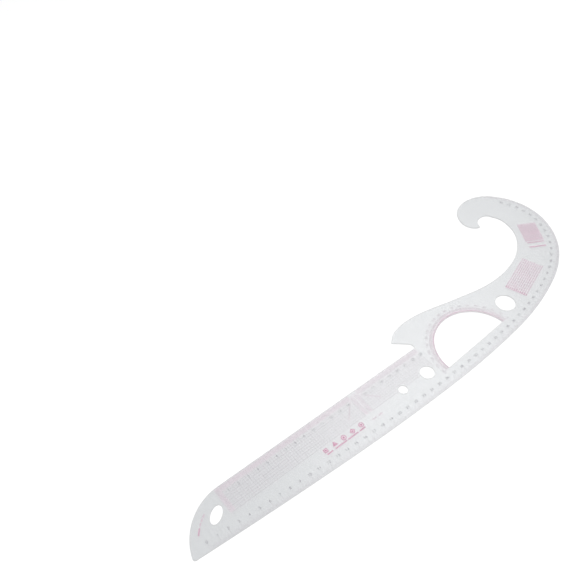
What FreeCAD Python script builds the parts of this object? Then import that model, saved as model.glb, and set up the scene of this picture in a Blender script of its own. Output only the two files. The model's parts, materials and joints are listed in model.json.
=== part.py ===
import FreeCAD, Part

import math
import os

from FreeCAD import Vector

# French curve: one flat clear sheet with graduated edges, and the ink films printed on its top face.
# Millimetres and degrees. The drawing is laid out from the start of the lower, graduated edge, with
# the straight upper edge along +X. Stations are measured along the graduated edge.

# ---- sheet ----
SHEET_THICKNESS = 1.2
INK_THICKNESS = 0.05

# The graduated edge: tangent arcs from the nose to the hook tip, as (radius, swept angle).
EDGE_START_HEADING = -4.1
BLADE_EDGE_RADIUS = 5000.0
HOOK_EDGE_RADIUS = 64.0
GRADUATED_EDGE = [
    (BLADE_EDGE_RADIUS, 1.8),
    (2200.0, 3.1),
    (900.0, 6.1),
    (300.0, 14.7),
    (128.0, 15.9),
    (84.0, 35.3),
    (HOOK_EDGE_RADIUS, 67.1),
    (38.0, 58.1),
    (24.5, 62.0),
    (15.5, 82.0),
]

# The blade: straight upper edge, rounded nose and the small round between nose and graduated edge.
BLADE_HEIGHT = 40.5
NOSE_RADIUS = 52.0
NOSE_TIP_RADIUS = 2.4

# The inner edge: strip widths square to the graduated edge, every WIDTH_STEP back from the hook tip.
WIDTH_START = 94.9
WIDTH_STEP = 20.0
STRIP_WIDTHS = [33.5, 36.0, 39.0, 40.5, 41.5, 42.5, 43.0, 43.5, 44.5, 47.0, 51.0, 56.0, 62.0, 68.0,
                74.0, 78.0, 78.5]
HOOK_END_WIDTH = 6.2
HOOK_END_TURN = 85.9
HOOK_MOUTH_TURN = 16.9
HOOK_MOUTH_RADIUS = 12.0
HOOK_MOUTH_SWEEP = 96.0
HOOK_CORNER_RADIUS = 1.0

# The beak over the end of the straight edge, and the notch under it.
BEAK_FROM_TIP = 436.9
BEAK_WIDTH = 68.8
BEAK_SHOULDER_AHEAD = 7.0
BEAK_SHOULDER_RISE = 5.7
BEAK_CORNER_RADIUS = 0.7
NOTCH_BEHIND_BEAK = 13.8
NOTCH_WALL = 5.6
NOTCH_WALL_RADIUS = 5.0
NOTCH_ROOT_RADIUS = 1.2

# ---- openings through the sheet ----
PROTRACTOR_FROM_TIP = 373.9
PROTRACTOR_RADIUS = 40.0
PROTRACTOR_INSET = 15.6
PROTRACTOR_CORNER_RADIUS = 0.8
BIG_HOLE_RADIUS = 10.0
BIG_HOLE_INSET = 26.2
BIG_HOLE_BRIDGE = 14.0
MID_HOLE_RADIUS = 7.0
MID_HOLE_INSET = 24.0
MID_HOLE_BRIDGE = 13.5
SMALL_HOLE_RADIUS = 4.5
SMALL_HOLE_INSET = 24.2
SMALL_HOLE_BRIDGE = 19.2
HANG_HOLE_LENGTH = 17.4
HANG_HOLE_WIDTH = 9.6
HANG_HOLE_SLOPE = 38.4
HANG_HOLE_INSET = 16.2
HANG_HOLE_BEARING = 114.7

# ---- edge scale ----
SCALE_ZERO = 13.5
SCALE_LENGTH = 600
NUMERAL_EVERY = 10
LAST_NUMERAL = 58
TICK_WIDTH = 0.14
TICK_GAP = 0.5
TICK_MM = 2.4
TICK_FIVE = 3.8
TICK_CM = 5.4
EDGE_NUMERAL_INSET = 8.0
EDGE_NUMERAL_HEIGHT = 2.1

# ---- blade grid ----
PRINT_MARGIN = 0.8
BAND_BEFORE_NOSE_CENTRE = 4.8
GRID_PITCH = 5.0
GRID_BAND_WIDTH = 5.0
GRID_LINE_WIDTH = 0.2
FINE_LINE_WIDTH = 0.12
INK_GAP = 0.12
SMALLEST_SCRAP = 0.02
GRID_ROWS = 4
GRID_FLOOR_INSET = 16.5
HOLE_PRINT_GAP = 1.0
GRID_NUMERAL_HEIGHT = 2.0
GRID_NUMERAL_DROP = 2.6
GRID_NUMERAL_CLEAR = 0.5
CROSS_BAND_CLEAR = 2.5
CROSS_BAND_FROM_BAND = 150.0
CROSS_BAND_WIDTH = 8.4
CROSS_BAND_SLIT = 1.1
ANGLE_LINE_WIDTH = 0.6
ANGLE_LINE_LENGTH = 18.0
ANGLE_LINE_GAP = 1.4

# ---- title and other marks on the blade ----
TITLE_FROM_BAND = 95.5
TITLE_PITCH = 10.1
TITLE_FIGURES = [(4, 45), (3, 90), (12, 15), (4, 0), (6, 30)]
TITLE_CORE = 0.45
TITLE_SIZE = 4.6
TITLE_DROP = 4.6
TITLE_STROKE = 0.6
SUBTITLE_DROP = 8.4
SUBTITLE_HEIGHT = 1.2
SUBTITLE_WORDS = [7.2, 12.6, 11.4, 6.2]
CAPTION_AFTER_TITLE = 11.2
CAPTION_DROP = 7.0
CAPTION_WORDS = [5.2, 5.6]
CAPTION_HEIGHT = 1.3
WORD_GAP = 1.9
LETTER_LENGTH = 0.9
LETTER_GAP = 0.4
NOSE_MARK_INSET = 7.3
NOSE_MARK_WIDTH = 1.2
NOSE_MARK_BEARINGS = [(143.6, 135.3), (133.1, 129.6), (128.5, 124.9), (123.8, 119.9)]

# ---- protractor print ----
RING_GAP = 0.5
RING_RIM_WIDTH = 0.6
RING_SOLID_WIDTH = 1.9
RING_TOOTH_LENGTH = 2.4
RING_TICK_WIDTH = 0.15
RING_NUMERAL_STEP = 10
RING_NUMERAL_HEIGHT = 1.9
RING_NUMERAL_GAP = 1.6
RING_TICK_LONG = 1.0

# ---- hook print ----
TABLE_FROM_TIP = 262.4
TABLE_INSET = 26.5
TABLE_LENGTH = 48.0
TABLE_ROWS = 11
TABLE_ROW_PITCH = 2.1
TABLE_DASH_HEIGHT = 1.2
TABLE_DASH_SHARE = 0.66
TABLE_DASH_STEP = 0.08
TABLE_COLUMN_PITCH = 4.0
PANEL_FROM_TIP = 173.1
PANEL_INSET = 24.2
PANEL_SLOPE = -4.0
PANEL_LENGTH = 27.0
PANEL_WIDTH = 20.5
PANEL_STRIPE = 0.9
PANEL_STRIPE_PITCH = 1.2
PANEL_BARS = [(1.9, 1.1), (8.2, 1.5)]
PANEL_BAR_LENGTH = 18.4

TOP = Vector(0, 0, SHEET_THICKNESS)
UP = Vector(0, 0, 1)


def direction(angle):
    """Unit vector at an angle from +X."""
    return Vector(math.cos(math.radians(angle)), math.sin(math.radians(angle)), 0)


def arc_chain(start, heading, arcs):
    """Tangent arcs as (start point, heading, radius, sweep, station of the start)."""
    chain = []
    station = 0.0
    for radius, sweep in arcs:
        chain.append((start, heading, radius, sweep, station))
        centre = start + direction(heading + 90) * radius
        start = centre - direction(heading + sweep + 90) * radius
        heading += sweep
        station += radius * math.radians(sweep)
    return chain, start, heading, station


CHAIN, CHAIN_END, END_HEADING, EDGE_LENGTH = arc_chain(Vector(0, 0, 0), EDGE_START_HEADING, GRADUATED_EDGE)


def edge_at(station):
    """Point on the graduated edge and its heading there."""
    for start, heading, radius, sweep, first in reversed(CHAIN):
        if station >= first:
            break
    turned = math.degrees((station - first) / radius)
    centre = start + direction(heading + 90) * radius
    return centre - direction(heading + turned + 90) * radius, heading + turned


def inside(station, inset):
    """Point a given distance in from the graduated edge, square to it."""
    point, heading = edge_at(station)
    return point + direction(heading + 90) * inset


def from_tip(distance):
    """Station that lies a distance back from the hook tip."""
    return EDGE_LENGTH - distance


def arc_edge(start, heading, radius, sweep):
    """Arc from a start point and heading; a positive sweep turns left."""
    side = 90 if sweep > 0 else -90
    centre = start + direction(heading + side) * radius
    middle = centre - direction(heading + side + sweep / 2) * radius
    end = centre - direction(heading + side + sweep) * radius
    return Part.Arc(start, middle, end).toShape(), end


# ---- places that several pieces share ----
PROTRACTOR_STATION = from_tip(PROTRACTOR_FROM_TIP)
PROTRACTOR_CENTRE = inside(PROTRACTOR_STATION, PROTRACTOR_INSET)
PROTRACTOR_HEADING = edge_at(PROTRACTOR_STATION)[1]
BIG_HOLE_STATION = PROTRACTOR_STATION + PROTRACTOR_RADIUS + BIG_HOLE_BRIDGE + BIG_HOLE_RADIUS
MID_HOLE_STATION = PROTRACTOR_STATION - PROTRACTOR_RADIUS - MID_HOLE_BRIDGE - MID_HOLE_RADIUS
SMALL_HOLE_STATION = MID_HOLE_STATION - MID_HOLE_RADIUS - SMALL_HOLE_BRIDGE - SMALL_HOLE_RADIUS
ROUND_HOLES = [
    (inside(BIG_HOLE_STATION, BIG_HOLE_INSET), BIG_HOLE_RADIUS),
    (inside(MID_HOLE_STATION, MID_HOLE_INSET), MID_HOLE_RADIUS),
    (inside(SMALL_HOLE_STATION, SMALL_HOLE_INSET), SMALL_HOLE_RADIUS),
]
BEAK_TIP = inside(from_tip(BEAK_FROM_TIP), BEAK_WIDTH)
NOTCH_ROOT = Vector(BEAK_TIP.x + NOTCH_BEHIND_BEAK, BLADE_HEIGHT, 0)


def nose_centre():
    """Centre of the nose arc, tangent to the straight edge and to the nose's small tip round."""
    tip_round = direction(EDGE_START_HEADING + 90) * NOSE_TIP_RADIUS
    drop = BLADE_HEIGHT - NOSE_RADIUS - tip_round.y
    reach = NOSE_RADIUS - NOSE_TIP_RADIUS
    return Vector(tip_round.x + math.sqrt(reach ** 2 - drop ** 2), BLADE_HEIGHT - NOSE_RADIUS, 0)


NOSE_CENTRE = nose_centre()
BAND_LEFT = NOSE_CENTRE.x - BAND_BEFORE_NOSE_CENTRE
BAND_TOP = BLADE_HEIGHT - PRINT_MARGIN
GRID_TOP = BAND_TOP - GRID_BAND_WIDTH
CROSS_X = BAND_LEFT + CROSS_BAND_FROM_BAND


# ---- clear sheet ----
def width_round_protractor(station):
    """Least strip width that holds the protractor's print at a station."""
    reach = PROTRACTOR_RADIUS + ring_width() + PRINT_MARGIN
    offset = station - PROTRACTOR_STATION
    if abs(offset) >= reach:
        return 0.0
    return PROTRACTOR_INSET + math.sqrt(reach ** 2 - offset ** 2)


def outline_face():
    """The sheet's outline, walked from the start of the graduated edge round to the nose."""
    edges = []
    for start, heading, radius, sweep, first in CHAIN:
        edges.append(arc_edge(start, heading, radius, sweep)[0])
    end_heading = END_HEADING + HOOK_END_TURN
    mouth_start = CHAIN_END + direction(end_heading) * HOOK_END_WIDTH
    edges.append(Part.LineSegment(CHAIN_END, mouth_start).toShape())
    mouth, mouth_end = arc_edge(mouth_start, end_heading - HOOK_MOUTH_TURN, HOOK_MOUTH_RADIUS,
                                -HOOK_MOUTH_SWEEP)
    edges.append(mouth)
    points = [mouth_end]
    for index, width in enumerate(STRIP_WIDTHS):
        station = from_tip(WIDTH_START + WIDTH_STEP * index)
        points.append(inside(station, max(width, width_round_protractor(station))))
    points.append(inside(from_tip(BEAK_FROM_TIP - BEAK_SHOULDER_AHEAD), BEAK_WIDTH + BEAK_SHOULDER_RISE))
    points.append(BEAK_TIP)
    inner = Part.BSplineCurve()
    inner.interpolate(points)
    edges.append(inner.toShape())
    wall_top = NOTCH_ROOT + Vector(0, NOTCH_WALL, 0)
    edges.append(Part.LineSegment(BEAK_TIP, wall_top).toShape())
    edges.append(Part.LineSegment(wall_top, NOTCH_ROOT).toShape())
    straight_end = NOSE_CENTRE + Vector(0, NOSE_RADIUS, 0)
    edges.append(Part.LineSegment(NOTCH_ROOT, straight_end).toShape())
    tip_centre = direction(EDGE_START_HEADING + 90) * NOSE_TIP_RADIUS
    tip_bearing = math.degrees(math.atan2(tip_centre.y - NOSE_CENTRE.y, tip_centre.x - NOSE_CENTRE.x))
    nose, nose_end = arc_edge(straight_end, 180, NOSE_RADIUS, tip_bearing - 90)
    edges.append(nose)
    edges.append(arc_edge(nose_end, tip_bearing + 90, NOSE_TIP_RADIUS,
                          EDGE_START_HEADING + 270 - tip_bearing)[0])
    return Part.Face(Part.Wire(edges)), [wall_top, NOTCH_ROOT, BEAK_TIP, CHAIN_END]


def upright_edges(solid, point):
    """The vertical edges of a sheet-like solid that stand at a point of its outline."""
    found = []
    for edge in solid.Edges:
        ends = [vertex.Point for vertex in edge.Vertexes]
        flat = [Vector(end.x, end.y, 0) for end in ends]
        if len(ends) == 2 and all(end.distanceToPoint(point) < 0.01 for end in flat):
            if abs(ends[0].z - ends[1].z) > SHEET_THICKNESS / 2:
                found.append(edge)
    return found


def half_disc():
    """The protractor's cut-out: a half-disc standing on its straight side, corners eased."""
    start = PROTRACTOR_CENTRE + direction(PROTRACTOR_HEADING) * PROTRACTOR_RADIUS
    arc, end = arc_edge(start, PROTRACTOR_HEADING + 90, PROTRACTOR_RADIUS, 180)
    chord = Part.LineSegment(end, start).toShape()
    solid = Part.Face(Part.Wire([arc, chord])).extrude(TOP)
    corners = upright_edges(solid, start) + upright_edges(solid, end)
    return solid.makeFillet(PROTRACTOR_CORNER_RADIUS, corners)


def hang_hole():
    """The oval hanging hole, long axis sloped, near the nose."""
    centre = NOSE_CENTRE + direction(HANG_HOLE_BEARING) * (NOSE_RADIUS - HANG_HOLE_INSET)
    oval = Part.Ellipse(Vector(0, 0, 0), HANG_HOLE_LENGTH / 2, HANG_HOLE_WIDTH / 2).toShape()
    oval.rotate(Vector(0, 0, 0), UP, HANG_HOLE_SLOPE)
    oval.translate(centre)
    return Part.Face(Part.Wire([oval])).extrude(TOP)


def clear_sheet():
    face, corners = outline_face()
    sheet = face.extrude(TOP)
    radii = [NOTCH_WALL_RADIUS, NOTCH_ROOT_RADIUS, BEAK_CORNER_RADIUS, HOOK_CORNER_RADIUS]
    for corner, radius in zip(corners, radii):
        sheet = sheet.makeFillet(radius, upright_edges(sheet, corner))
    cuts = [half_disc(), hang_hole()]
    for centre, radius in ROUND_HOLES:
        cuts.append(Part.makeCylinder(radius, SHEET_THICKNESS, centre))
    return sheet.cut(Part.makeCompound(cuts)).Solids[0]


# ---- ink films ----
def film(face):
    """One ink film on the top face of the sheet."""
    raised = face.copy()
    raised.translate(TOP)
    return raised.extrude(UP * INK_THICKNESS)


def polygon(points):
    """Flat face on a run of points, always facing up."""
    face = Part.Face(Part.makePolygon(list(points) + [points[0]]))
    return face if face.normalAt(0, 0).z > 0 else polygon(points[::-1])


def bar(start, end, width):
    """Straight bar of ink between two points."""
    side = (end - start).cross(UP).normalize() * (width / 2)
    return polygon([start + side, end + side, end - side, start - side])


def stroke_side(points, half, closed):
    """One side of a pen stroke along a run of points, with mitred corners."""
    count = len(points)
    side = []
    for index, point in enumerate(points):
        before = point - points[index - 1] if closed or index else points[1] - points[0]
        after = points[(index + 1) % count] - point if closed or index < count - 1 else before
        left = UP.cross(Vector(before).normalize())
        bend = (left + UP.cross(Vector(after).normalize())).normalize()
        side.append(point + bend * (half / bend.dot(left)))
    return side


def stroke(points, width, closed=False):
    """Pen stroke of constant width, as a face."""
    left = stroke_side(points, width / 2, closed)
    right = stroke_side(points, -width / 2, closed)
    if not closed:
        return polygon(left + right[::-1])
    inner, outer = sorted([polygon(left), polygon(right)], key=lambda face: face.Area)
    return outer.cut(inner).Faces[0]


# Numerals as pen strokes in a box one wide and 1.6 high: (closed, points).
BOWL = [(0.3, 0.0), (0.7, 0.0), (1.0, 0.3), (1.0, 0.62), (0.7, 0.92), (0.3, 0.92), (0.0, 0.62), (0.0, 0.3)]
HEAD = [(0.32, 0.92), (0.68, 0.92), (0.92, 1.14), (0.92, 1.38), (0.68, 1.6), (0.32, 1.6), (0.08, 1.38),
        (0.08, 1.14)]
TAIL = [(0.0, 0.5), (0.0, 0.95), (0.35, 1.45), (0.75, 1.6)]
DIGIT_STROKES = {
    "0": [(True, [(0.3, 0), (0.7, 0), (1, 0.35), (1, 1.25), (0.7, 1.6), (0.3, 1.6), (0, 1.25), (0, 0.35)])],
    "1": [(False, [(0.2, 1.3), (0.6, 1.6), (0.6, 0)])],
    "2": [(False, [(0, 1.2), (0.25, 1.6), (0.75, 1.6), (1, 1.25), (0.9, 0.9), (0.05, 0), (1.05, 0)])],
    "3": [(False, [(0, 1.4), (0.3, 1.6), (0.7, 1.6), (0.95, 1.4), (0.95, 1.1), (0.7, 0.87), (0.35, 0.87)]),
          (False, [(0.35, 0.87), (0.72, 0.87), (1, 0.6), (1, 0.25), (0.7, 0), (0.3, 0), (0, 0.2)])],
    "4": [(False, [(0.75, 0), (0.75, 1.6), (0.02, 0.5)]), (False, [(0, 0.5), (1.05, 0.5)])],
    "5": [(False, [(0.95, 1.6), (0.15, 1.6), (0.1, 0.92), (0.7, 0.95), (1, 0.65), (1, 0.28), (0.7, 0),
                   (0.3, 0), (0, 0.2)])],
    "6": [(True, BOWL), (False, TAIL)],
    "7": [(False, [(0, 1.6), (0.95, 1.6), (0.35, 0)])],
    "8": [(True, BOWL), (True, HEAD)],
    "9": [(True, [(1 - x, 1.6 - y) for x, y in BOWL]), (False, [(1 - x, 1.6 - y) for x, y in TAIL])],
}
DIGIT_ASPECT = 1.6
DIGIT_STROKE = 0.24
DIGIT_ADVANCE = 1.5
DIGITS = {}


def digit(name):
    """One numeral in its unit box; each is drawn once and then copied."""
    if name not in DIGITS:
        faces = []
        for closed, places in DIGIT_STROKES[name]:
            faces.append(stroke([Vector(x, y, 0) for x, y in places], DIGIT_STROKE, closed))
        face = faces[0]
        if len(faces) > 1:
            face = face.fuse(faces[1:]).removeSplitter()
        DIGITS[name] = face.Faces[0]
    return DIGITS[name].copy()


def numeral(value, centre, angle, height):
    """Films of a whole number centred on a point, its baseline along an angle."""
    text = str(value)
    films = []
    for place, name in enumerate(text):
        shift = (place - (len(text) - 1) / 2) * DIGIT_ADVANCE
        face = digit(name)
        face.translate(Vector(shift - 0.5, -DIGIT_ASPECT / 2, 0))
        face.scale(height / DIGIT_ASPECT)
        face.rotate(Vector(0, 0, 0), UP, angle)
        face.translate(centre)
        films.append(film(face))
    return films


def edge_scale_ticks():
    films = []
    for mark in range(SCALE_LENGTH + 1):
        length = TICK_CM if mark % 10 == 0 else TICK_FIVE if mark % 5 == 0 else TICK_MM
        station = SCALE_ZERO + mark
        films.append(film(bar(inside(station, TICK_GAP), inside(station, TICK_GAP + length), TICK_WIDTH)))
    return films


def edge_numerals():
    """Centimetre numerals of the edge scale."""
    films = []
    for value in range(LAST_NUMERAL + 1):
        station = SCALE_ZERO + value * NUMERAL_EVERY
        centre = inside(station, EDGE_NUMERAL_INSET)
        films += numeral(value, centre, edge_at(station)[1], EDGE_NUMERAL_HEIGHT)
    return films


def grid_size():
    """Rows and columns of whole cells that fit between band, title and protractor print."""
    ring_reach = PROTRACTOR_RADIUS + ring_width()
    right = min(NOTCH_ROOT.x, PROTRACTOR_CENTRE.x - ring_reach)
    left = BAND_LEFT + GRID_BAND_WIDTH
    floor = inside(SCALE_ZERO + BAND_LEFT, GRID_FLOOR_INSET).y
    rows = min(GRID_ROWS, int((GRID_TOP - floor) / GRID_PITCH))
    return rows, int((right - left) / GRID_PITCH)


def ring_width():
    """Radial depth of the protractor's print outside its cut-out."""
    return RING_GAP + RING_SOLID_WIDTH + RING_TOOTH_LENGTH + RING_NUMERAL_GAP + RING_NUMERAL_HEIGHT


def hole_clearance(gap):
    """Discs round the holes, and round the protractor print, that the blade's print keeps clear of."""
    discs = []
    for centre, radius in ROUND_HOLES:
        discs.append(Part.Face(Part.Wire([Part.makeCircle(radius + gap, centre)])))
    reach = PROTRACTOR_RADIUS + ring_width() + gap
    discs.append(Part.Face(Part.Wire([Part.makeCircle(reach, PROTRACTOR_CENTRE)])))
    return Part.makeCompound(discs)


def cross_band_zone():
    """The strip of grid that the cross band takes up, with a gap each side."""
    rows, columns = grid_size()
    half = CROSS_BAND_WIDTH / 2 + INK_GAP
    low = GRID_TOP - rows * GRID_PITCH - GRID_LINE_WIDTH
    return polygon([Vector(CROSS_X - half, low, 0), Vector(CROSS_X + half, low, 0),
                    Vector(CROSS_X + half, BAND_TOP, 0), Vector(CROSS_X - half, BAND_TOP, 0)])


def angle_line(side, width):
    """Line at 45 degrees down from the cross band's point, on its left (-1) or right (+1)."""
    drop = GRID_BAND_WIDTH + ANGLE_LINE_GAP
    start = Vector(CROSS_X + side * drop, BAND_TOP - drop, 0)
    return bar(start, start + direction(-90 + side * 45) * ANGLE_LINE_LENGTH, width)


def numeral_zone(column, value):
    """Clear box round one grid numeral."""
    width = len(str(value)) * DIGIT_ADVANCE * GRID_NUMERAL_HEIGHT / DIGIT_ASPECT + INK_GAP
    centre = Vector(column, GRID_TOP - GRID_NUMERAL_DROP, 0)
    reach = Vector(width / 2, 0, 0)
    return bar(centre - reach, centre + reach, GRID_NUMERAL_HEIGHT + GRID_NUMERAL_CLEAR)


def grid_numeral_places():
    """Value and X of each centimetre numeral that has room on the blade's grid."""
    rows, columns = grid_size()
    places = []
    for value in range(1, int((columns * GRID_PITCH + GRID_BAND_WIDTH) / NUMERAL_EVERY) + 1):
        column = BAND_LEFT + value * NUMERAL_EVERY
        if abs(column - CROSS_X) > CROSS_BAND_WIDTH / 2 + CROSS_BAND_CLEAR:
            places.append((value, column))
    return places


def trimmed(faces, cutters):
    """Flat faces with the cutters taken away, as films."""
    cut = Part.makeCompound(faces).cut(Part.makeCompound(cutters))
    return [film(face) for face in cut.Faces if face.Area > SMALLEST_SCRAP]


def grid_keep_out():
    zones = [hole_clearance(HOLE_PRINT_GAP), cross_band_zone()]
    for value, column in grid_numeral_places():
        zones.append(numeral_zone(column, value))
    for side in (-1, 1):
        zones.append(angle_line(side, ANGLE_LINE_WIDTH + 2 * INK_GAP))
    return zones


def line_net(pitch, width, phase, margin):
    """Crossing grid lines as one face: a sheet of ink with the cells left open."""
    rows, columns = grid_size()
    left = BAND_LEFT + GRID_BAND_WIDTH + INK_GAP
    right = BAND_LEFT + GRID_BAND_WIDTH + columns * GRID_PITCH + width / 2
    bottom = GRID_TOP - rows * GRID_PITCH
    top = GRID_TOP - INK_GAP
    bars = []
    for row in range(1, rows + 1):
        level = GRID_TOP - (row - phase) * pitch
        bars.append(bar(Vector(left, level, 0), Vector(right, level, 0), width))
    for column in range(1, columns + 1):
        across = BAND_LEFT + GRID_BAND_WIDTH + (column - phase) * pitch
        bars.append(bar(Vector(across, bottom - margin, 0), Vector(across, top, 0), width))
    return bars[0].fuse(bars[1:]).removeSplitter()


def grid_lines():
    net = line_net(GRID_PITCH, GRID_LINE_WIDTH, 0.0, GRID_LINE_WIDTH / 2)
    return trimmed([net], grid_keep_out())


def grid_half_lines():
    """Fine lines half way between the grid lines, broken where the grid lines run."""
    net = line_net(GRID_PITCH, FINE_LINE_WIDTH, 0.5, -GRID_LINE_WIDTH)
    heavy = line_net(GRID_PITCH, GRID_LINE_WIDTH + 2 * INK_GAP, 0.0, GRID_LINE_WIDTH)
    return trimmed([net], grid_keep_out() + [heavy])


def grid_border_band():
    """L-shaped band along the straight edge and down the grid's left end."""
    rows, columns = grid_size()
    low = GRID_TOP - rows * GRID_PITCH - GRID_LINE_WIDTH / 2
    right = BAND_LEFT + GRID_BAND_WIDTH + columns * GRID_PITCH
    inner = BAND_LEFT + GRID_BAND_WIDTH
    shape = polygon([Vector(BAND_LEFT, low, 0), Vector(inner, low, 0), Vector(inner, GRID_TOP, 0),
                     Vector(right, GRID_TOP, 0), Vector(right, BAND_TOP, 0), Vector(BAND_LEFT, BAND_TOP, 0)])
    return trimmed([shape], [hole_clearance(HOLE_PRINT_GAP), cross_band_zone()])


def grid_numerals():
    films = []
    for value, column in grid_numeral_places():
        centre = Vector(column, GRID_TOP - GRID_NUMERAL_DROP, 0)
        films += numeral(value, centre, 0, GRID_NUMERAL_HEIGHT)
    return films


def cross_band():
    """Upright double band with a pointed top, square to the straight edge."""
    rows, columns = grid_size()
    low = GRID_TOP - rows * GRID_PITCH - GRID_LINE_WIDTH / 2
    half = CROSS_BAND_WIDTH / 2
    slit = CROSS_BAND_SLIT / 2
    films = []
    for side in (-1, 1):
        films.append(film(polygon([
            Vector(CROSS_X + side * slit, low, 0),
            Vector(CROSS_X + side * half, low, 0),
            Vector(CROSS_X + side * half, BAND_TOP - half, 0),
            Vector(CROSS_X + side * slit, BAND_TOP - slit, 0),
        ])))
    return films


def angle_lines():
    """The two lines at 45 degrees, broken where a grid numeral stands."""
    lines = [angle_line(side, ANGLE_LINE_WIDTH) for side in (-1, 1)]
    return trimmed(lines, [numeral_zone(column, value) for value, column in grid_numeral_places()])


# ---- generic marks where the real sheet carries words ----
def word(start, length, height):
    """A plain row of blocks that stands for one word."""
    films = []
    step = LETTER_LENGTH + LETTER_GAP
    for index in range(max(1, int((length + LETTER_GAP) / step))):
        first = start + Vector(index * step, 0, 0)
        films.append(film(bar(first, first + Vector(LETTER_LENGTH, 0, 0), height)))
    return films


def words(start, lengths, height):
    """A line of such words, parallel to the straight edge."""
    films = []
    for length in lengths:
        films += word(start, length, height)
        start = start + Vector(length + WORD_GAP, 0, 0)
    return films


def under_grid(from_band, drop):
    """Point below the grid's lower line, measured from the band's left side."""
    rows, columns = grid_size()
    return Vector(BAND_LEFT + from_band, GRID_TOP - rows * GRID_PITCH - drop, 0)


def title_marks():
    """Plain drafting figures (square, triangle, ring, diamond, hexagon), each with a solid core."""
    size = TITLE_SIZE / 2
    films = []
    for index, (sides, turn) in enumerate(TITLE_FIGURES):
        centre = under_grid(TITLE_FROM_BAND + index * TITLE_PITCH, TITLE_DROP)
        corners = [direction(turn + 360 / sides * corner) * size for corner in range(sides)]
        films.append(film(stroke([centre + corner for corner in corners], TITLE_STROKE, True)))
        films.append(film(polygon([centre + corner * TITLE_CORE for corner in corners])))
    return films


def subtitle_marks():
    start = under_grid(TITLE_FROM_BAND - TITLE_SIZE / 4, SUBTITLE_DROP)
    return words(start, SUBTITLE_WORDS, SUBTITLE_HEIGHT)


def caption_marks():
    title_end = TITLE_FROM_BAND + (len(TITLE_FIGURES) - 1) * TITLE_PITCH
    return words(under_grid(title_end + CAPTION_AFTER_TITLE, CAPTION_DROP), CAPTION_WORDS, CAPTION_HEIGHT)


def nose_marks(bold):
    """Dashes that follow the nose: one bold, the rest light."""
    films = []
    chosen = NOSE_MARK_BEARINGS[:1] if bold else NOSE_MARK_BEARINGS[1:]
    reach = NOSE_RADIUS - NOSE_MARK_INSET
    for first, last in chosen:
        run = [NOSE_CENTRE + direction(first + (last - first) * step / 4) * reach for step in range(5)]
        films.append(film(stroke(run, NOSE_MARK_WIDTH)))
    return films


# ---- protractor print ----
def ring_point(radius, degree):
    return PROTRACTOR_CENTRE + direction(PROTRACTOR_HEADING + degree) * radius


def ring_half_angle(radius, width):
    return math.degrees(width / 2 / radius)


def protractor_rim():
    """Strong line close round the cut-out."""
    radius = PROTRACTOR_RADIUS + RING_GAP + RING_RIM_WIDTH / 2
    return [film(stroke([ring_point(radius, degree) for degree in range(0, 181, 2)], RING_RIM_WIDTH))]


def protractor_band():
    """Band outside the rim whose outer part is toothed, so that the degree ticks fit between."""
    root = PROTRACTOR_RADIUS + RING_GAP + RING_SOLID_WIDTH
    inner = PROTRACTOR_RADIUS + RING_GAP + RING_RIM_WIDTH + INK_GAP
    crest = root + RING_TOOTH_LENGTH
    run = [ring_point(inner, degree) for degree in range(180, -1, -1)]
    gap = ring_half_angle(root, RING_TICK_WIDTH + 2 * INK_GAP)
    for degree in range(180):
        run.append(ring_point(root, degree + gap))
        run.append(ring_point(crest, degree + gap))
        run.append(ring_point(crest, degree + 1 - gap))
        run.append(ring_point(root, degree + 1 - gap))
    return [film(polygon(run))]


def protractor_ticks():
    root = PROTRACTOR_RADIUS + RING_GAP + RING_SOLID_WIDTH + INK_GAP
    crest = PROTRACTOR_RADIUS + RING_GAP + RING_SOLID_WIDTH + RING_TOOTH_LENGTH
    films = []
    for degree in range(181):
        reach = crest + (RING_TICK_LONG if degree % 5 == 0 else 0)
        films.append(film(bar(ring_point(root, degree), ring_point(reach, degree), RING_TICK_WIDTH)))
    return films


def protractor_numerals():
    radius = PROTRACTOR_RADIUS + ring_width() - RING_NUMERAL_HEIGHT / 2
    films = []
    for degree in range(0, 181, RING_NUMERAL_STEP):
        angle = PROTRACTOR_HEADING + degree - 90
        films += numeral(degree, ring_point(radius, degree), angle, RING_NUMERAL_HEIGHT)
    return films


# ---- hook print ----
def block_frame(distance, inset, slope):
    """Centre of a block of print on the strip, with its directions along and across the strip."""
    station = from_tip(distance)
    heading = edge_at(station)[1] + slope
    return inside(station, inset), direction(heading), direction(heading + 90)


def table_dashes(heading_column):
    """Rows of dashes like a printed table; the first column is its bold heading column."""
    centre, along, across = block_frame(TABLE_FROM_TIP, TABLE_INSET, 0)
    corner = centre - along * (TABLE_LENGTH / 2) - across * ((TABLE_ROWS - 1) * TABLE_ROW_PITCH / 2)
    columns = int(TABLE_LENGTH / TABLE_COLUMN_PITCH)
    films = []
    for row in range(TABLE_ROWS):
        for column in [0] if heading_column else range(1, columns):
            share = TABLE_DASH_SHARE + TABLE_DASH_STEP * ((row * 3 + column * 5) % 4)
            start = corner + along * (column * TABLE_COLUMN_PITCH) + across * (row * TABLE_ROW_PITCH)
            films.append(film(bar(start, start + along * (TABLE_COLUMN_PITCH * share), TABLE_DASH_HEIGHT)))
    return films


def panel_bar(offset, length, width):
    """Film of one bar across the strip, at an offset along it from the panel's lower end."""
    centre, along, across = block_frame(PANEL_FROM_TIP, PANEL_INSET, PANEL_SLOPE)
    middle = centre + along * (offset - PANEL_LENGTH / 2)
    return film(bar(middle - across * (length / 2), middle + across * (length / 2), width))


def panel_stripes():
    """Close stripes across the strip that read as one tinted panel."""
    films = []
    for index in range(int(PANEL_LENGTH / PANEL_STRIPE_PITCH)):
        films.append(panel_bar((index + 0.5) * PANEL_STRIPE_PITCH, PANEL_WIDTH, PANEL_STRIPE))
    return films


def panel_bars():
    """Bold bars beside the panel, towards the blade."""
    return [panel_bar(-gap, PANEL_BAR_LENGTH, width) for gap, width in PANEL_BARS]


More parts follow.
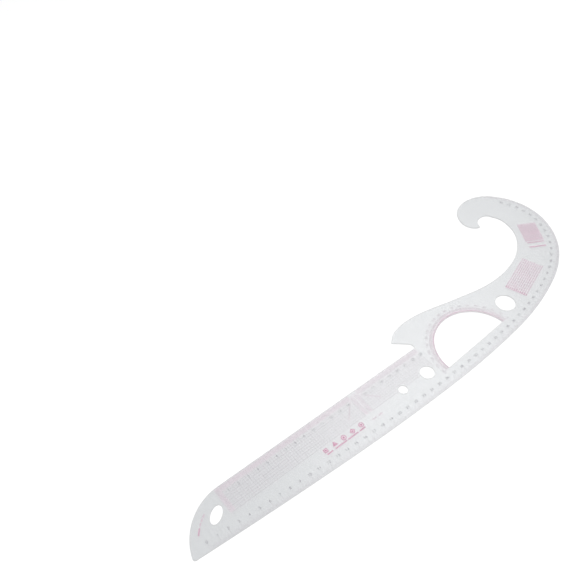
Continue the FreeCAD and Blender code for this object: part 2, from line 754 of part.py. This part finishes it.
def build():
    """Every piece by name, still in the drawing's own axes."""
    return {
        "clear_sheet": clear_sheet(),
        "edge_scale_ticks": edge_scale_ticks(),
        "edge_scale_numerals": edge_numerals(),
        "grid_lines": grid_lines(),
        "grid_half_lines": grid_half_lines(),
        "grid_border_band": grid_border_band(),
        "grid_numerals": grid_numerals(),
        "cross_band": cross_band(),
        "angle_lines": angle_lines(),
        "title_marks": title_marks(),
        "subtitle_marks": subtitle_marks(),
        "caption_marks": caption_marks(),
        "nose_bold_mark": nose_marks(True),
        "nose_light_marks": nose_marks(False),
        "protractor_rim": protractor_rim(),
        "protractor_band": protractor_band(),
        "protractor_ticks": protractor_ticks(),
        "protractor_numerals": protractor_numerals(),
        "table_dashes": table_dashes(False),
        "table_heading_dashes": table_dashes(True),
        "panel_stripes": panel_stripes(),
        "panel_bars": panel_bars(),
    }


def main():
    os.makedirs("parts", exist_ok=True)
    pieces = build()
    box = pieces["clear_sheet"].BoundBox
    to_origin = Vector(-box.Center.x, -box.Center.y, 0)
    for name, piece in pieces.items():
        shape = Part.makeCompound(piece) if isinstance(piece, list) else piece
        shape.translate(to_origin)
        shape.exportStep("parts/" + name + ".step")
        print(name, len(shape.Solids), "solids", round(shape.Volume, 2), "mm3")
    print("size", round(box.XLength, 1), round(box.YLength, 1), "edge length", round(EDGE_LENGTH, 1))


main()
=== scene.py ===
import json
import math

import bpy
from mathutils import Matrix, Vector


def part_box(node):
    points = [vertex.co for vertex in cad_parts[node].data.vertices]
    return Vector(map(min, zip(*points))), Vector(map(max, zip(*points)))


# French curve: the clear sheet and its printed inks, on a pale floor under soft light. Metres.

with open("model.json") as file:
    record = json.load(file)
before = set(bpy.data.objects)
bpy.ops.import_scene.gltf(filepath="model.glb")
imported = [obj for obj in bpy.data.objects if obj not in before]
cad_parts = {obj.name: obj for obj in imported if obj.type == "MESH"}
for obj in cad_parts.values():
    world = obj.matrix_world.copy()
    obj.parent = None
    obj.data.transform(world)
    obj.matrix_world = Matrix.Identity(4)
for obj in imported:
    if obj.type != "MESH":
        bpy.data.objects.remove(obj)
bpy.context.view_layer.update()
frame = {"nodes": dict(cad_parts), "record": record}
nodes = frame["nodes"]
slot_of = {part["node"]: part["material_slot"] for part in frame["record"]["subparts"]}
sheet_low, sheet_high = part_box("clear_sheet")

# ---- looks ----
SHEET_TINT = (0.405, 0.43, 0.455)
SHEET_TINT_DEEP = (0.385, 0.41, 0.435)
# Cut walls: a dark grey and a denser cover, painted shade that stands in for the darkening refraction
# gives a clear cut edge.
SHEET_WALL_PAINTED_SHADE = (0.22, 0.22, 0.22)
SHEET_FACE_ALPHA = 0.22
SHEET_WALL_ALPHA = 0.36
# Reflection is scaled by the cover, so this index at 22% cover gives what 1.49 gives at full cover.
SHEET_IOR = 2.5
# Deep colour, light colour and cover of each way an ink is laid.
INKS = {
    "dark_ink": ((0.20, 0.17, 0.21), (0.34, 0.29, 0.35), 0.36),
    "fine_ink": ((0.46, 0.24, 0.38), (0.58, 0.36, 0.50), 0.21),
    "pink_ink": ((0.88, 0.36, 0.60), (0.94, 0.48, 0.70), 0.15),
    "magenta_ink": ((0.74, 0.14, 0.38), (0.84, 0.26, 0.50), 0.38),
    "pink_tint": ((0.94, 0.34, 0.66), (0.98, 0.46, 0.76), 0.045),
    "magenta_thin": ((0.74, 0.18, 0.42), (0.84, 0.30, 0.54), 0.22),
    "rose_ink": ((0.50, 0.24, 0.38), (0.62, 0.36, 0.50), 0.20),
}
# Prints that look fainter or pinker than the rest of their slot.
OWN_FINISH = {
    "pink_tint": ("grid_border_band", "cross_band", "protractor_band"),
    "magenta_thin": ("protractor_rim", "nose_bold_mark", "panel_bars", "table_heading_dashes"),
    "rose_ink": ("protractor_ticks", "protractor_numerals"),
}

# A face is a cut wall where its normal's upright share is under this.
WALL_BELOW = 0.5
INK_SPECULAR = 0.3

# ---- textures: noise scale per metre, detail and roughness; bumps in metres ----
DRIFT_NOISE = (9.0, 3.0)
SCRATCH_NOISE = (60.0, 6.0, 0.7)
SCRATCH_STRETCH = ((40.0, 1.2, 1.0), 0.9)
SCRATCH_ROUGHNESS = (0.25, 0.31)
WAVE_NOISE = (35.0, 2.0)
WAVE_BUMP = {"Strength": 0.02, "Distance": 0.0004}
PATCH_NOISE = (45.0, 4.0, 0.6)
GRAIN_NOISE = (900.0, 3.0)
GRAIN_ROUGHNESS = (0.42, 0.62)
GRAIN_BUMP = {"Strength": 0.2, "Distance": 0.00002}
MOTTLE_NOISE = (3.0, 4.0)

# ---- floor and lights: place, target, width, depth, watts ----
FLOOR_SIZE = 8.0
FLOOR_GAP = 0.0002
FLOOR_GREYS = (0.90, 0.93)
FLOOR_ROUGHNESS = 0.9
WORLD_STRENGTH = 0.50
SOFT_BOXES = {
    "soft_left": ((-0.9, -1.0, 2.2), (0, 0, 0), 2.2, 2.2, 52.0),
    "soft_back": ((1.25, 1.05, 2.2), (1.25, 1.05, 0), 1.2, 1.4, 17.5),
    "soft_hook": ((2.2, 1.35, 2.2), (2.2, 1.35, 0), 0.7, 0.9, 4.5),
}

# ---- camera: millimetres from the row's origin and over the print, and radians ----
CAMERA_FOOT = (-330.6, -293.9)
CAMERA_RISE = 576.43
CAMERA_HEADING = math.radians(37.52)
CAMERA_PITCH = 0.85576
CAMERA_ROLL = 0.016949
FOCAL_PIXELS = 754.81
FRAME_PIXELS = 576
PRINCIPAL = (289.03, 288.49)
SENSOR = 36.0
CLIP_START = 0.01
MM = 0.001


def node(tree, kind, place, **settings):
    """A shader node with its settings and plain input values."""
    made = tree.nodes.new(kind)
    made.location = place
    for key, value in settings.items():
        if key in made.inputs:
            made.inputs[key].default_value = value
        else:
            setattr(made, key, value)
    return made


def new_material(name):
    """An empty material with a Principled shader on its output."""
    material = bpy.data.materials.new(name)
    material.use_nodes = True
    tree = material.node_tree
    tree.nodes.clear()
    output = node(tree, "ShaderNodeOutputMaterial", (900, 0))
    shader = node(tree, "ShaderNodeBsdfPrincipled", (600, 0))
    tree.links.new(shader.outputs["BSDF"], output.inputs["Surface"])
    return material, tree, shader


def noise(tree, place, scale, detail, roughness=0.5, stretch=None):
    """Noise over the row frame's own coordinates, in metres, stretched if asked."""
    where = node(tree, "ShaderNodeTexCoord", (place[0] - 500, place[1]))
    source = where.outputs["Object"]
    if stretch:
        mapping = node(tree, "ShaderNodeMapping", (place[0] - 300, place[1]))
        mapping.inputs["Scale"].default_value = stretch[0]
        mapping.inputs["Rotation"].default_value = (0, 0, stretch[1])
        tree.links.new(source, mapping.inputs["Vector"])
        source = mapping.outputs["Vector"]
    made = node(tree, "ShaderNodeTexNoise", place, Scale=scale, Detail=detail, Roughness=roughness)
    tree.links.new(source, made.inputs["Vector"])
    return made.outputs["Fac"]


def ramp(tree, place, value, stops):
    """Colour ramp driven by a value, from (position, colour) stops."""
    made = node(tree, "ShaderNodeValToRGB", place)
    elements = made.color_ramp.elements
    while len(elements) < len(stops):
        elements.new(0.5)
    for element, (position, colour) in zip(elements, stops):
        element.position = position
        element.color = (*colour, 1.0)
    tree.links.new(value, made.inputs["Fac"])
    return made.outputs["Color"]


def grey(level):
    return (level, level, level)


def mix_colour(tree, place, factor, first, second):
    made = node(tree, "ShaderNodeMix", place, data_type="RGBA")
    for value, socket in ((factor, made.inputs[0]), (first, made.inputs[6]), (second, made.inputs[7])):
        if isinstance(value, tuple):
            socket.default_value = (*value, 1.0)
        else:
            tree.links.new(value, socket)
    return made.outputs[2]


def maths(tree, place, operation, first, second):
    made = node(tree, "ShaderNodeMath", place, operation=operation)
    for value, socket in ((first, made.inputs[0]), (second, made.inputs[1])):
        if isinstance(value, (int, float)):
            socket.default_value = value
        else:
            tree.links.new(value, socket)
    return made.outputs[0]


def clear_plastic():
    """Clear sheet: a faint cool tint that drifts, hair scratches, and cut walls with painted shade,
    darker and denser in place of edge refraction.
    """
    material, tree, shader = new_material("clear_plastic")
    geometry = node(tree, "ShaderNodeNewGeometry", (-900, 400))
    split = node(tree, "ShaderNodeSeparateXYZ", (-700, 400))
    tree.links.new(geometry.outputs["Normal"], split.inputs[0])
    upright = maths(tree, (-500, 400), "ABSOLUTE", split.outputs[2], 0.0)
    wall = maths(tree, (-300, 400), "LESS_THAN", upright, WALL_BELOW)
    drift = ramp(tree, (-200, 100), noise(tree, (-400, 100), *DRIFT_NOISE),
                 [(0.3, SHEET_TINT_DEEP), (0.7, SHEET_TINT)])
    # Cut walls take the dark grey: painted shade for the edge darkening that refraction gives.
    colour = mix_colour(tree, (300, 200), wall, drift, SHEET_WALL_PAINTED_SHADE)
    tree.links.new(colour, shader.inputs["Base Color"])
    alpha = ramp(tree, (200, 500), wall, [(0.0, grey(SHEET_FACE_ALPHA)), (1.0, grey(SHEET_WALL_ALPHA))])
    tree.links.new(alpha, shader.inputs["Alpha"])
    scratches = noise(tree, (-200, -300), *SCRATCH_NOISE, SCRATCH_STRETCH)
    smooth, dull = SCRATCH_ROUGHNESS
    rough = ramp(tree, (200, -300), scratches, [(0.35, grey(smooth)), (0.75, grey(dull))])
    tree.links.new(rough, shader.inputs["Roughness"])
    wave = noise(tree, (-200, -600), *WAVE_NOISE)
    bump = node(tree, "ShaderNodeBump", (300, -600), **WAVE_BUMP)
    tree.links.new(wave, bump.inputs["Height"])
    tree.links.new(bump.outputs["Normal"], shader.inputs["Normal"])
    shader.inputs["IOR"].default_value = SHEET_IOR
    return material


def ink(name, deep, light, cover):
    """Screen-printed ink: uneven cover from the mesh, slightly rough."""
    material, tree, shader = new_material(name)
    patch = noise(tree, (-200, 200), *PATCH_NOISE)
    colour = ramp(tree, (200, 200), patch, [(0.3, deep), (0.72, light)])
    tree.links.new(colour, shader.inputs["Base Color"])
    shader.inputs["Alpha"].default_value = cover
    grain = noise(tree, (-200, -200), *GRAIN_NOISE)
    smooth, dull = GRAIN_ROUGHNESS
    rough = ramp(tree, (200, -200), grain, [(0.3, grey(smooth)), (0.7, grey(dull))])
    tree.links.new(rough, shader.inputs["Roughness"])
    bump = node(tree, "ShaderNodeBump", (300, -450), **GRAIN_BUMP)
    tree.links.new(grain, bump.inputs["Height"])
    tree.links.new(bump.outputs["Normal"], shader.inputs["Normal"])
    shader.inputs["Specular IOR Level"].default_value = INK_SPECULAR
    return material


def dress():
    """Gives every CAD node its slot's finish, or its own where it has one."""
    finishes = {"clear_plastic": clear_plastic()}
    for name, (deep, light, cover) in INKS.items():
        finishes[name] = ink(name, deep, light, cover)
    own = {name: finish for finish, names in OWN_FINISH.items() for name in names}
    for name, piece in nodes.items():
        piece.material_slots[0].material = finishes[own.get(name, slot_of[name])]


def floor():
    """Plain pale floor under the sheet, well past the picture's edges."""
    bpy.ops.mesh.primitive_plane_add(size=FLOOR_SIZE, location=(0, 0, sheet_low.z - FLOOR_GAP))
    plane = bpy.context.object
    plane.name = "floor"
    material, tree, shader = new_material("floor_paper")
    mottle = ramp(tree, (200, 0), noise(tree, (-100, 0), *MOTTLE_NOISE),
                  [(0.2, grey(FLOOR_GREYS[0])), (0.8, grey(FLOOR_GREYS[1]))])
    tree.links.new(mottle, shader.inputs["Base Color"])
    shader.inputs["Roughness"].default_value = FLOOR_ROUGHNESS
    shader.inputs["Specular IOR Level"].default_value = 0.0
    plane.data.materials.append(material)


def soft_box(name, place, target, width, depth, watts):
    """Rectangular area light at a place, facing a target."""
    light = bpy.data.lights.new(name, "AREA")
    light.shape = "RECTANGLE"
    light.size = width
    light.size_y = depth
    light.energy = watts
    lamp = bpy.data.objects.new(name, light)
    lamp.location = place
    lamp.rotation_euler = (Vector(target) - Vector(place)).to_track_quat("-Z", "Y").to_euler()
    bpy.context.scene.collection.objects.link(lamp)


def lights():
    """Even white surroundings and the overhead soft boxes."""
    world = bpy.data.worlds.new("studio")
    world.use_nodes = True
    background = world.node_tree.nodes["Background"]
    background.inputs["Color"].default_value = (1.0, 1.0, 1.0, 1.0)
    background.inputs["Strength"].default_value = WORLD_STRENGTH
    bpy.context.scene.world = world
    for name, setting in SOFT_BOXES.items():
        soft_box(name, *setting)


def camera():
    """Camera that stands where the picture was taken from."""
    sin_heading, cos_heading = math.sin(CAMERA_HEADING), math.cos(CAMERA_HEADING)
    ahead = Vector((sin_heading, cos_heading, 0))
    right = Vector((cos_heading, -sin_heading, 0))
    view = ahead * math.cos(CAMERA_PITCH) - Vector((0, 0, 1)) * math.sin(CAMERA_PITCH)
    down = view.cross(right)
    side = right * math.cos(CAMERA_ROLL) + down * math.sin(CAMERA_ROLL)
    fall = down * math.cos(CAMERA_ROLL) - right * math.sin(CAMERA_ROLL)
    axes = Matrix((side, -fall, -view)).transposed().to_4x4()
    place = Vector((CAMERA_FOOT[0] * MM, CAMERA_FOOT[1] * MM, sheet_high.z + CAMERA_RISE * MM))
    lens = bpy.data.cameras.new("view")
    lens.sensor_width = SENSOR
    lens.sensor_fit = "HORIZONTAL"
    lens.lens = FOCAL_PIXELS / FRAME_PIXELS * SENSOR
    lens.shift_x = (FRAME_PIXELS / 2 - PRINCIPAL[0]) / FRAME_PIXELS
    lens.shift_y = (PRINCIPAL[1] - FRAME_PIXELS / 2) / FRAME_PIXELS
    lens.clip_start = CLIP_START
    eye = bpy.data.objects.new("view", lens)
    eye.matrix_world = Matrix.Translation(place) @ axes
    bpy.context.scene.collection.objects.link(eye)
    bpy.context.scene.camera = eye


dress()
floor()
lights()
camera()
bpy.context.scene.view_settings.view_transform = "Standard"
bpy.context.scene.view_settings.look = "None"
